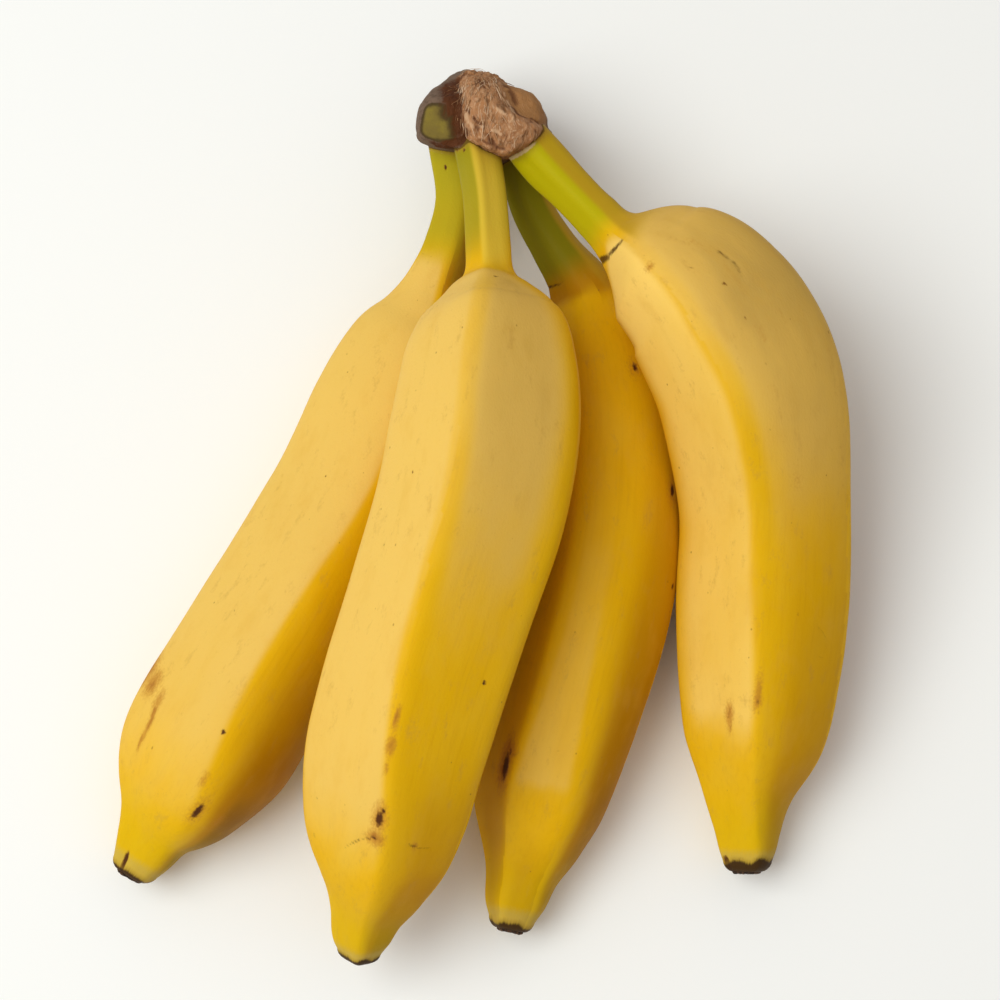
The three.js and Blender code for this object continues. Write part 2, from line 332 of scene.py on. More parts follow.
            [54.8, -32, 14.5, 15.9],
            [53.7, -43.7, 12.6, 13.6],
            [52.5, -53.7, 10.3, 9.1],
            [52.3, -61.3, 8.8, 6.7],
            [52.2, -67.2, 8, 5.5],
        ],
    },
}


def smooth(edge_low, edge_high, values):
    """0 below the first edge, 1 above the second, and a smooth step between them."""
    share = np.clip((values - edge_low) / (edge_high - edge_low), 0, 1)
    return share * share * (3 - 2 * share)


def wander(points, size, seed):
    """Smooth random bumps between about -1 and 1, as wide as size, at an array of points.

    Each corner of a cell gets its value from whole-number mixing with large odd numbers."""
    cell = np.asarray(points, float) / size + seed * 17.31
    low = np.floor(cell).astype(np.int64)
    part = cell - low
    part = part * part * part * (part * (part * 6 - 15) + 10)
    total = np.zeros(part.shape[:-1])
    for corner in np.ndindex(2, 2, 2):
        x, y, z = (low[..., i] + corner[i] for i in range(3))
        mix = (x * 73856093) ^ (y * 19349663) ^ (z * 83492791) ^ (seed * 2654435761)
        mix = (mix ^ (mix >> 13)) * 1274126177 & 0x7FFFFFFF
        mix = (mix ^ (mix >> 15)) & 0xFFFFF
        weight = np.ones(part.shape[:-1])
        for i in range(3):
            weight = weight * (part[..., i] if corner[i] else 1 - part[..., i])
        total += weight * (mix / 0xFFFFF * 2 - 1)
    return total


def through(stations, shares):
    """A smooth curve through the stations, and its slope, at shares of the way from 0 to 1."""
    stations = np.asarray(stations, float)
    ends = [2 * stations[0] - stations[1]], [2 * stations[-1] - stations[-2]]
    padded = np.vstack([ends[0], stations, ends[1]])
    place = np.clip(shares, 0, 1) * (len(stations) - 1)
    span = np.minimum(place.astype(int), len(stations) - 2)
    w = (place - span)[:, None]
    before, here, there, after = (padded[span + i] for i in range(4))
    leave, arrive = (there - before) / 2, (after - here) / 2
    cubic = 2 * here - 2 * there + leave + arrive
    square = 3 * there - 3 * here - 2 * leave - arrive
    points = ((cubic * w + square) * w + leave) * w + here
    slopes = (3 * cubic * w + 2 * square) * w + leave
    return points, slopes


def even_shares(stations, step):
    """Shares of the curve that lie a step apart along it."""
    fine = np.linspace(0, 1, 2001)
    points, _ = through(stations, fine)
    lengths = np.concatenate([[0], np.cumsum(np.linalg.norm(np.diff(points[:, :3], axis=0), axis=1))])
    rings = int(lengths[-1] / step) + 1
    run = np.linspace(0, lengths[-1], rings)
    return np.interp(run, lengths, fine), run


def unit(vectors):
    """Vectors brought to length 1."""
    return vectors / np.linalg.norm(vectors, axis=-1, keepdims=True)


def ridge_turns(fruit, shares):
    """Where a fruit's ridges stand at each share, in radians, with their bends eased."""
    eased = np.linspace(-RIDGE_EASE, RIDGE_EASE, 7)[:, None] + shares
    stands = [np.interp(eased, *np.transpose(ridge)).mean(axis=0) for ridge in fruit["ridges"]]
    return np.radians(np.stack(stands, axis=1))


def off_turn(turns):
    """Turns brought to between half a turn back and half a turn on."""
    return (turns + np.pi) % (2 * np.pi) - np.pi


def section_reach(stands, sharpness, flatness):
    """How far each ring's ridged section reaches at each turn, for a mean radius near 1."""
    sharpness = sharpness[:, None]
    following = np.concatenate([stands[:, 1:], stands[:, :1] + 2 * np.pi], axis=1)
    middle, half = (stands + following) / 2, (following - stands) / 2
    distance = np.cos(half) + (1 - np.cos(half)) * FACE_BULGE
    distance = distance * (np.cos(flatness * half) / np.cos(half)) ** RIDGES_KEPT
    facing = np.cos(flatness * off_turn(TURN[None, :, None] - middle[:, None, :])) / distance[:, None, :]
    return np.sum(np.maximum(facing, 0) ** sharpness[..., None], axis=2) ** (-1 / sharpness)


def marks(blemishes, shares, run, radius):
    """A field that is as strong as it is told at the middle of each blemish and 0 at its edge."""
    field = np.zeros((len(shares), AROUND))
    for share, degrees, length, width, strength in blemishes:
        ahead = run - np.interp(share, shares, run)
        sideways = off_turn(TURN - math.radians(degrees))[None, :] * radius[:, None]
        away = np.hypot(ahead[:, None] / length, sideways / width)
        field = np.maximum(field, strength * np.clip(1 - away, 0, 1))
    return field


def cracked(cracks, shares, run, radius):
    """A field of thin cracks: as strong as each is told where it starts, and half that where it ends."""
    field = np.zeros((len(shares), AROUND))
    for (share, degrees), (share_to, degrees_to), width, strength in cracks:
        ahead = (run - np.interp(share, shares, run))[:, None]
        sideways = off_turn(TURN - math.radians(degrees))[None, :] * radius[:, None]
        along = np.interp(share_to, shares, run) - np.interp(share, shares, run)
        across = math.radians(degrees_to - degrees) * np.interp(share, shares, radius)
        way = np.clip((ahead * along + sideways * across) / (along ** 2 + across ** 2), 0, 1)
        away = np.hypot(ahead - along * way, sideways - across * way)
        field = np.maximum(field, strength * (1 - 0.5 * way) * np.exp(-((away / width) ** 2)))
    return field


def fruit_rings(fruit):
    """A fruit's bare form, ring by ring: the share of its stations, the run along it in millimetres, its
    row [x, y, z, radius], the way along it, the ways outward from it, and its points."""
    shares, run = even_shares(fruit["stations"], RING_STEP)
    rows, slopes = through(fruit["stations"], shares)
    along = unit(slopes[:, :3])
    side = unit(np.cross([0, 0, 1], along))
    over = np.cross(along, side)
    sharpness = np.interp(shares, *np.transpose(fruit["sharpness"]))
    reach = section_reach(ridge_turns(fruit, shares), sharpness, np.array(fruit["flatness"]))
    outward = over[:, None] * np.cos(TURN)[:, None] + side[:, None] * np.sin(TURN)[:, None]
    points = rows[:, None, :3] + outward * (rows[:, 3, None] * reach)[..., None]
    return shares, run, rows, along, outward, points


# Millimetres from the stations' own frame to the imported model's, whose middle is its origin.
SHIFT = np.array([0.54, -2.44, 0])


def placed(points):
    """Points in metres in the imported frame, from millimetres in the stations' own frame."""
    return (points + SHIFT) * MM


# ---------------------------------------------------------------------------------------------
# Meshes
# ---------------------------------------------------------------------------------------------
def closed_tube(rings):
    """Points and faces of a closed tube: its rings, then the middles of its first and last ring."""
    rows, columns, _ = rings.shape
    near = np.arange(columns)
    far = (near + 1) % columns
    start = (np.arange(rows - 1) * columns)[:, None]
    after = start + columns
    faces = np.stack([start + near, after + near, after + far, start + far], axis=2).reshape(-1, 4).tolist()
    first, last, end = rows * columns, rows * columns + 1, (rows - 1) * columns
    faces += np.stack([np.full(columns, first), near, far], axis=1).tolist()
    faces += np.stack([np.full(columns, last), end + far, end + near], axis=1).tolist()
    return np.concatenate([rings.reshape(-1, 3), rings[:1].mean(axis=1), rings[-1:].mean(axis=1)]), faces


def on_tube(values):
    """Paint for a closed tube: its rings' values, then the means of the first and last ring."""
    rows, columns = values.shape[:2]
    flat = values.reshape(rows * columns, -1)
    flat = np.concatenate([flat, flat[:columns].mean(axis=0)[None], flat[-columns:].mean(axis=0)[None]])
    return flat if values.ndim == 3 else flat[:, 0]


def solid_mesh(name, points, faces, paint):
    """An object from points in millimetres, with its paint as one value or vector for each vertex."""
    mesh = bpy.data.meshes.new(name)
    mesh.from_pydata(placed(points).tolist(), [], faces)
    for label, values in paint.items():
        kind, key = ("FLOAT_VECTOR", "vector") if values.ndim == 2 else ("FLOAT", "value")
        layer = mesh.attributes.new(label, kind, "POINT")
        layer.data.foreach_set(key, values.astype(np.float32).ravel())
    mesh.shade_smooth()
    made = bpy.data.objects.new(name, mesh)
    bpy.context.scene.collection.objects.link(made)
    return made


def belongs(piece, slot, material, *nodes):
    """Puts a piece on the hand's one body with its material, in place of plain solids. The slot is not used.
    """
    piece.data.materials.append(material)
    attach(piece, "root")
    if nodes:
        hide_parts(*nodes)


# ---------------------------------------------------------------------------------------------
# The crown: lumps of cork grown together. Each has a centre and faces [direction, distance out].
# ---------------------------------------------------------------------------------------------
CROWN_MIDDLE = np.array([0, 81.5, 25])
CROWN_RADIUS = 12  # mm, about: what one radian round the crown's middle is worth
LUMP_REACH = 11  # mm, about: from a lump's centre to its skin
LUMP_ROUNDNESS = 9  # more makes the edges between a lump's faces tighter
JOIN_SHARPNESS = 20  # more makes the grooves between lumps tighter
CROWN_LUMPS = {
    "cut": [[0.5, 81.5, 25], [
        [[0, -0.1, 1], 12.4], [[0, 0.75, 0.65], 10.2], [[-0.1, 1, 0], 10.6], [[0.55, 0.83, 0.1], 8.6],
        [[0.86, 0.38, 0.35], 7.4], [[-1, 0.05, 0.25], 6.6], [[-0.48, -0.88, -0.27], 5.5],
        [[0.49, -0.87, -0.27], 8.2], [[0, 0, -1], 12],
    ]],
    "tongue": [[5, 78, 25], [
        [[0.02, -0.05, 1], 12.3], [[0.49, -0.87, -0.27], 3.6], [[0.86, -0.5, 0.05], 7.2],
        [[0.46, 0.84, 0.3], 5], [[-0.48, -0.88, -0.27], 4.3], [[-1, 0, 0], 6], [[0, 0, -1], 10],
    ]],
    "shoulder": [[6.5, 82, 23.5], [
        [[0.2, 0.15, 1], 11], [[0.1, 1, 0.35], 7.2], [[0.46, 0.88, 0.2], 6.2], [[0.93, 0.38, 0.1], 5.7],
        [[0.95, -0.3, 0], 6.1],
        [[0.3, -0.9, 0], 6], [[-1, 0, 0], 7], [[0, 0, -1], 11],
    ]],
    "base": [[-1, 83.5, 17], [
        [[1, 0.1, 0], 12], [[-1, 0.1, -0.1], 12.2], [[-0.2, -1, -0.3], 6], [[0.3, -1, -0.3], 6.4],
        [[-0.55, -0.85, -0.2], 10.4],
        [[0.4, 1, 0.1], 5.6], [[-0.3, 1, 0], 6.6], [[0, 0, -1], 8], [[0, 0, 1], 8],
    ]],
    "stub": [[-8.3, 82, 24], [
        [[-1, 0.12, 0.1], 5.3], [[-0.8, 0.6, 0.1], 5.5], [[-0.3, 1, 0.2], 9.6], [[-0.25, -0.4, 0.88], 7],
        [[-0.1, 0.72, 0.68], 7.1], [[-0.1, -1, -0.3], 6], [[-0.55, -0.85, -0.2], 6.4], [[0, 0, -1], 9],
        [[1, 0, 0], 6],
    ]],
}
BREAK_FACE = 3  # the number of the stub's smooth face, where its finger broke off
TORN_LUMPS = 2  # the first lumps, whose upper faces are torn
TORN_ABOVE = 26  # mm over the table
# Strokes seen from above: what they are, half their width, their depth, and [x, y] along them.
CROWN_STROKES = [
    # The hollows are sunk and painted dark as shade.
    ["hollow", 1.4, 1.2, [[-6.4, 87.4], [-6.2, 84.7], [-5.9, 82.8], [-5.8, 81], [-5.7, 79.1], [-5.3, 77]]],
    ["hollow", 1.5, 0.7, [[-5.2, 90], [-7.2, 88], [-7.6, 85.5], [-7.4, 83], [-7, 81.4]]],
    ["hollow", 0.8, 0.7, [[-12.6, 75.4], [-10.1, 75.1], [-7.9, 74.9], [-5.7, 75.3], [-3.9, 75.6]]],
    ["tear", 0.7, 0.3, [[4, 86.8], [5.4, 84.9], [6, 83.2], [6.6, 81.8]]],
    ["tear", 0.5, 0.5, [[-5.6, 86.9], [-5, 85.2], [-4.6, 83.6], [-4.1, 81.6], [-4.4, 80.2], [-4.9, 78.8],
                        [-4.3, 76.6], [-3.2, 74.9]]],
    ["tear", 0.4, 0.5, [[-3.4, 80.1], [-2.4, 78.6], [-1.2, 77.2], [-0.4, 76.5]]],
    ["tear", 0.6, 0.7, [[-1.2, 76.1], [-0.2, 74.8], [1, 73.9], [1.6, 72.8], [2.4, 71.6]]],
    ["tear", 0.35, 0.3, [[-2.8, 74.5], [-0.8, 73.3], [1.2, 72.2], [2.8, 71.5], [4.6, 71.2]]],
    ["tear", 0.3, 0.3, [[-0.8, 87.5], [0, 85.1], [0.6, 83.3]]],
    ["tear", 0.7, 0.2, [[5.6, 87.6], [8, 86.6], [10.2, 85.2], [11.6, 83.2], [12.2, 80.9]]],
    ["tear", 0.3, 0.3, [[3, 85.4], [3.6, 83.4], [4.2, 81.9], [5, 80.7]]],
    ["tear", 0.4, 0.3, [[5.6, 80.6], [6.6, 79.4], [7.8, 78.4], [9.4, 78.2], [11, 78]]],
    ["tear", 0.4, 0.25, [[9.2, 77.4], [9.8, 76], [10.2, 75.4]]],
    # The ridges are raised and painted paler as highlights.
    ["ridge", 0.45, 0.3, [[-0.6, 76], [1, 75.4], [2.2, 74.9], [3.4, 74.3]]],
    ["ridge", 0.5, 0.35, [[5.4, 80.6], [6, 78.9], [5.6, 77.2]]],
    ["ridge", 0.4, 0.3, [[3.8, 84], [4.5, 82.3], [4.9, 81]]],
    ["ridge", 0.4, 0.3, [[2.6, 79.4], [3.8, 78.7], [4.8, 77.7]]],
    ["ridge", 0.5, 0.3, [[-3.6, 79], [-3.2, 77.4], [-2.2, 76.2]]],
]


# The fibres fan out from a pole behind the crown, over the cut. The other two axes lie across it.
FIBRE_POLE = unit(np.array([0.05, 0.97, 0.2]))
FIBRE_ACROSS = unit(np.cross(FIBRE_POLE, [0, 0, 1]))
FIBRE_THIRD = np.cross(FIBRE_POLE, FIBRE_ACROSS)


def lump_gauges(points):
    """How far out points lie in each lump of the crown: 0 at its centre, 1 on its skin."""
    gauges = []
    for centre, faces in CROWN_LUMPS.values():
        normals = unit(np.array([direction for direction, _ in faces], float))
        distances = np.array([distance for _, distance in faces])
        facing = np.maximum((points - centre) @ (normals / distances[:, None]).T, 0)
        gauges.append(np.sum(facing ** LUMP_ROUNDNESS, axis=-1) ** (1 / LUMP_ROUNDNESS))
    least = 0.05  # keeps the middles' high powers finite
    return np.maximum(np.stack(gauges, axis=-1), least)


def crown_gauge(points):
    """How far out points lie in the whole crown: below 1 inside it, 1 on its skin."""
    return np.sum(lump_gauges(points) ** -JOIN_SHARPNESS, axis=-1) ** (-1 / JOIN_SHARPNESS)


def crown_skin(directions):
    """The points of the crown's skin in directions from its middle, found by halving."""
    outside, halvings = 30.0, 24  # mm from the middle, and enough steps to be exact
    near, far = np.zeros(len(directions)), np.full(len(directions), outside)
    for _ in range(halvings):
        halfway = (near + far) / 2
        inside = crown_gauge(CROWN_MIDDLE + directions * halfway[:, None]) < 1
        near, far = np.where(inside, halfway, near), np.where(inside, far, halfway)
    return CROWN_MIDDLE + directions * near[:, None]


def fibre_path(directions):
    """Places in millimetres with the fibres' length laid out along the third axis."""
    down = np.arccos(np.clip(directions @ FIBRE_POLE, -1, 1))
    flat = directions - (directions @ FIBRE_POLE)[:, None] * FIBRE_POLE
    return CROWN_RADIUS * np.stack([flat @ FIBRE_ACROSS, flat @ FIBRE_THIRD, down], axis=1)


def stroked(points, kind):
    """How strongly, and how deep in millimetres, each point lies under the crown's strokes of one kind."""
    strength, depth = np.zeros(len(points)), np.zeros(len(points))
    wobble = 0.35 * np.stack([wander(points, 1.6, 70), wander(points, 1.6, 71)], axis=1)
    flat = points[:, :2] + wobble
    broken = smooth(-0.7, 0.4, wander(points, 1.3, 72))
    for what, width, deep, line in CROWN_STROKES:
        if what != kind:
            continue
        away = np.full(len(points), np.inf)
        for start, end in zip(np.array(line[:-1]), np.array(line[1:])):
            way = np.clip((flat - start) @ (end - start) / ((end - start) @ (end - start)), 0, 1)
            away = np.minimum(away, np.linalg.norm(flat - start - way[:, None] * (end - start), axis=1))
        near = np.exp(-((away / width) ** 2)) * smooth(24, 27, points[:, 2])
        if kind != "hollow":
            near = near * broken
        strength, depth = np.maximum(strength, near), np.maximum(depth, near * deep)
    return strength, depth


def crown_piece():
    """The corky crown: a fibrous torn cut, a smoother shoulder, and the stub of a lost finger. What
    stands out from its skin is in millimetres."""
    ball = bmesh.new()
    bmesh.ops.create_icosphere(ball, subdivisions=7, radius=1)
    directions = unit(np.array([vertex.co for vertex in ball.verts]))
    faces = [[vertex.index for vertex in face.verts] for face in ball.faces]
    ball.free()
    skin = crown_skin(directions)
    gauges = lump_gauges(skin)
    shares = gauges ** -JOIN_SHARPNESS
    shares /= shares.sum(axis=1, keepdims=True)
    cut, tongue, shoulder, base, stub = shares.T
    centre, stub_faces = CROWN_LUMPS["stub"]
    facet_normal, facet_out = stub_faces[BREAK_FACE]
    facing = (skin - centre) @ unit(np.array(facet_normal)) / facet_out
    stub_gauge = gauges[:, list(CROWN_LUMPS).index("stub")]
    facet = smooth(0.955, 0.995, facing / stub_gauge) * smooth(0.4, 0.8, stub)
    # the hollows are sunk, and their dark colour is painted shade
    hollow, hollow_depth = stroked(skin, "hollow")
    tear, tear_depth = stroked(skin, "tear")
    # raised strands, whose paler colour is painted highlight
    ridge, ridge_height = stroked(skin, "ridge")
    facet = facet * (1 - hollow) * smooth(-5.6, -6.4, skin[:, 0])

    path = fibre_path(directions)
    tangle = np.stack([wander(skin, 3.4, 60 + i) + 0.3 * wander(skin, 1.1, 64 + i) for i in range(3)], axis=1)
    strands = 1 - np.abs(wander((path + 0.9 * tangle) * [1, 1, 0.16], 1.5, 50)) * 2
    fibres = 1 - np.abs(wander((path + 0.8 * tangle) * [1, 1, 0.22], 0.55, 51)) * 2
    pits = smooth(0.25, 0.8, wander((path + tangle) * [1, 1, 0.35], 0.7, 56))
    fibrous = smooth(0.25, 0.7, cut + tongue + 0.9 * hollow) * (1 - facet) * smooth(20, 26, skin[:, 2])
    rough = wander(skin, 4, 52) + 0.5 * wander(skin, 1.6, 53)
    clumps = smooth(-0.9, 0.6, wander(skin, 2.2, 55))
    out = (0.36 * strands + 0.16 * fibres - 0.3 * pits) * fibrous * clumps + 0.25 * rough * (1 - facet)
    out += 0.12 * wander(path * [1, 1, 0.12], 0.8, 54) * (1 - fibrous) * (1 - 0.6 * facet)
    out += smooth(25, 19, skin[:, 2]) * (0.6 * wander(skin, 5.5, 57) + 0.2 * wander(skin, 2, 58))
    out += ridge_height - hollow_depth - tear_depth
    points = skin + directions * out[:, None]
    return solid_mesh("crown_cork", points, faces, {
        "place": points,
        "path": path + 0.8 * tangle,
        "pits": pits * fibrous,
        "rim": 4 * facet * (1 - facet),
        "shoulder": shoulder,
        "facet": facet,
        "stub": np.minimum(stub + smooth(-3, -8, skin[:, 0]) * base, 1),
        # low: the lower sides, painted darker as shade
        "low": smooth(26, 18, skin[:, 2] + 2 * wander(skin, 4, 59)),
        "hollow": hollow,
        "tear": tear,
        "ridge": ridge,
    })


# ---------------------------------------------------------------------------------------------
# The fruits' peel and dried flowers
# ---------------------------------------------------------------------------------------------
# The peel's round end, past its last ring: [mm beyond it, share of its radius].
TIP_CURL = [
    [0.6, 0.97], [1.2, 0.91], [1.7, 0.82], [2.05, 0.72], [2.2, 0.62], [2.1, 0.54], [1.5, 0.5], [0.8, 0.45],
]
END_TAPER = 0.93  # share of the radius that is left at the last ring
CURL_STAIN = 0.5  # mm that the dark end gains with each ring of the curl
WAX_FADE = 9  # mm over which the wax of the first face thins out
SHADE_AT_RIDGE = 0.75  # how much painted shade darkens the wax right past the first ridge


def by_face(zones, shares, face, straight, seed):
    """Strengths laid out by face and by share of the length, with slightly wavering borders."""
    wavering = shares[:, None] + 0.01 * wander(straight, 9, seed + 42)
    wavering = wavering + 0.003 * wander(straight, 2, seed + 43)
    field = np.zeros(face.shape)
    for number, strengths in zones.items():
        field = np.where(face == number, np.interp(wavering, *np.transpose(strengths)), field)
    return field


def peel_piece(name, fruit):
    """A fruit's whole skin, from inside the crown to the lip round its dried flower. Borders are in
    millimetres past the first ridge, before or past the neck, short of the tip or off the crown."""
    seed = fruit["seed"]
    shares, run, rows, along, outward, points = fruit_rings(fruit)
    radius = rows[:, 3]
    spun = np.stack([radius[:, None] * np.cos(TURN), radius[:, None] * np.sin(TURN)], axis=2)
    size = spun.shape[:2]
    straight = np.concatenate([spun, np.broadcast_to(run[:, None, None], (*size, 1))], axis=2)
    from_neck = np.broadcast_to((run - np.interp(fruit["neck"], shares, run))[:, None], size)
    to_tip = np.broadcast_to((run[-1] - run)[:, None], size)
    stands = ridge_turns(fruit, shares)[:, None]
    past = (TURN[:, None] - stands) % (2 * np.pi) * radius[:, None, None]
    before = (stands - TURN[:, None]) % (2 * np.pi) * radius[:, None, None]
    from_ridge = off_turn(TURN - stands[..., 0]) * radius[:, None]
    face, past, before = past.argmin(axis=2), past.min(axis=2), before.min(axis=2)
    rubbed = np.interp(shares, *np.transpose(fruit["rubbed"]))[:, None]
    dusky_wax_and_shade = np.interp(shares, *np.transpose(fruit["dusky_wax_and_shade"]))[:, None]
    band = smooth(-2.6, -0.3, from_ridge) * smooth(4.6, 1.6, from_ridge)
    # the wax, with painted sheen where it reaches further on the lit faces
    wax_and_sheen = by_face(fruit["wax_and_sheen"], shares, face, straight, seed) * (1 - rubbed * band)
    lower, further = fruit["thin"]
    last = len(fruit["ridges"]) - 1
    wax_and_sheen = wax_and_sheen * np.where(face == last, smooth(-0.4, lower, past), 1)
    wax_and_sheen = wax_and_sheen * np.where(face == 0, smooth(further - WAX_FADE, further, before), 1)
    # painted shade: a deeper, darker orange, growing past each face's ridge and full at the stalk
    deep = by_face(fruit["deep"], shares, face, straight, seed + 5)
    deep = deep * np.maximum(smooth(-0.06, 0.55, past / radius[:, None]), smooth(9, 3, from_neck))
    # painted shade on the wax: darker further past the first ridge, lighter right at it
    shade_past_ridge = (dusky_wax_and_shade - SHADE_AT_RIDGE) * smooth(2, 11, from_ridge)
    # edge is how bright the stalk's painted highlight is; the shade strength and reach are for its painted
    # shade
    edge, brown, shade_strength, shade_reach, green = fruit["stalk"]
    scars = marks(fruit["scars"], shares, run, radius)
    cracks = cracked(fruit["cracks"], shares, run, radius)

    # Soft lumps on the body, and lengthwise wrinkles at the stalk and towards the tip.
    lumps = 0.3 * wander(points, 24, seed) + 0.07 * wander(points, 8, seed + 20)
    out = smooth(5, 14, radius)[:, None] * lumps
    out += 0.14 * wander(straight * [1, 1, 0.12], 2.2, seed + 21) * smooth(16, 3, to_tip)
    out += 0.13 * wander(straight * [1, 1, 0.08], 2, seed + 22) * smooth(8, -4, from_neck)
    out += -0.3 * cracks - 0.12 * (scars > 0.5)
    off_crown = (crown_gauge(points) - 1) * LUMP_REACH
    rim = smooth(0.1, 0.5, off_crown) * smooth(2.4, 1.4, off_crown)
    taper = smooth(4.5, -1, to_tip) ** 2
    out += radius[:, None] * (np.sqrt(1 - (1 - END_TAPER ** 2) * taper / taper.max()) - 1)
    points = points + outward * out[..., None]

    tip = rows[-1, :3]
    lip = [tip + along[-1] * beyond + (points[-1] - tip) * share for beyond, share in TIP_CURL]
    points = np.concatenate([points, lip])
    if fruit["rests"]:
        points[..., 2] = np.maximum(points[..., 2], 0)
    paint = {
        "straight": straight,
        "from_neck": from_neck,
        "to_tip": to_tip,
        "off_crown": off_crown,
        "cream": fruit["cream"] * rim * smooth(3, 0, from_ridge),
        "wax_and_sheen": wax_and_sheen,
        "dusky_wax_and_shade": wax_and_sheen * smooth(-0.6, 1.6, from_ridge) * (SHADE_AT_RIDGE + shade_past_ridge),
        # painted sheen: the wax whiter on the lit side before the first ridge
        "painted_sheen": fruit["painted_sheen"] * wax_and_sheen * smooth(0.6, -1.6, from_ridge),
        "deep": deep,
        # painted highlight along the stalk's edge
        "stalk_highlight": (
            edge * smooth(-1.8, 0, from_ridge) * smooth(9, 1.5, from_ridge) * smooth(5, -5, from_neck)
        ),
        "stalk_brown": brown * smooth(0.4, 2.4, from_ridge) * smooth(9, -1, from_neck),
        # painted shade on the stalk, deepest on the back fruit's, which lies under the other stalks
        "stalk_shade": (
            shade_strength * smooth(shade_reach + 1.2, shade_reach - 1.2, from_ridge) * smooth(4, -8, from_neck)
        ),
        "stalk_green": green * smooth(1, -9, from_neck) * smooth(0.5, 5, off_crown),
        "scar": scars,
        "bruise": marks(fruit["bruises"], shares, run, radius),
        "crack": cracks,
        "stain": fruit["stain"] + 0.7 * wander(straight, 2.4, seed + 44) - to_tip,
    }
    for label, values in paint.items():
        longer = np.concatenate([values, np.repeat(values[-1:], len(TIP_CURL), axis=0)])
        if label == "stain":
            longer[-len(TIP_CURL):] += np.arange(1, len(TIP_CURL) + 1)[:, None] * CURL_STAIN
        paint[label] = on_tube(longer)
    solid, faces = closed_tube(points)
    return solid_mesh("banana_peel_" + name, solid, faces, paint)


# The dried flower, from inside the peel's lip to its own end: [mm beyond the peel's last ring, share of
# its radius].
FLOWER_PROFILE = [
    [0.2, 0.3], [1.4, 0.42], [1.9, 0.5], [2.2, 0.54], [2.45, 0.53], [2.65, 0.46], [2.7, 0.36], [2.6, 0.26],
    [2.6, 0.17], [2.75, 0.07],
]
FLOWER_RINGS = 34
FLOWER_SIZE = 6  # mm: the radius at which its lobes and puckers are laid out


def flower_piece(name, fruit):
    """The dried remains of the flower: a low, puckered, slightly ragged cap on the fruit's end."""
    seed = fruit["seed"]
    _, _, rows, along, _, points = fruit_rings(fruit)
    profile, _ = through(FLOWER_PROFILE, np.linspace(0, 1, FLOWER_RINGS))
    beyond, share = profile[:, :1], profile[:, 1:]
    ring = points[-1] - rows[-1, :3]
    worn = np.stack([np.cos(TURN) * FLOWER_SIZE, np.sin(TURN) * FLOWER_SIZE, np.zeros(AROUND)], axis=1)
    lobes = 0.03 * np.cos(5 * TURN + seed)
    lobes = lobes + 0.08 * wander(worn, 3.5, seed + 80) + 0.03 * wander(worn, 1.2, seed + 83)
    wrinkle = wander(worn + [0, 0, 9], 0.9, seed + 81) * smooth(0.1, 0.6, share)
    share = share * (1 + lobes * smooth(0.3, 0.7, share))
    beyond = beyond + 0.13 * wrinkle + 0.2 * wander(worn, 4, seed + 82) * smooth(0.2, 0.6, share)
    rings = rows[-1, :3] + along[-1] * beyond[..., None] + ring * share[..., None]
    if fruit["rests"]:
        rings[..., 2] = np.maximum(rings[..., 2], 0)
    solid, faces = closed_tube(rings)
    return solid_mesh("dried_flower_" + name, solid, faces, {
        "place": solid,
        "raised": on_tube(np.broadcast_to(wrinkle, rings.shape[:2])),
    })


FIBRES = 900  # threads that are tried, of which those on torn or hollow cork stay
HAIRS = 9  # fine arcs along the crown's upper edge
HAIR_RADIUS = 0.03  # mm
FIBRE_POINTS = 10
FIBRE_SIDES = 4
SHADE_STEP = 0.618  # the golden ratio's, so that neighbouring threads differ in shade


def loose_thread(path, radius):
    """Points and faces of a fine closed tube along a path, thinner at its ends."""
    turn = np.linspace(0, 2 * np.pi, FIBRE_SIDES, endpoint=False)[:, None]
    slanted = [0.31, 0.83, 0.46]  # no thread runs this way
    along = unit(np.gradient(path, axis=0))
    side = unit(np.cross(along, slanted))
    over = np.cross(along, side)
    taper = radius * np.sin(np.linspace(0.3, np.pi - 0.2, len(path))) ** 0.6
    ring = side[:, None] * np.cos(turn) + over[:, None] * np.sin(turn)
    return closed_tube(path[:, None] + ring * taper[:, None, None])


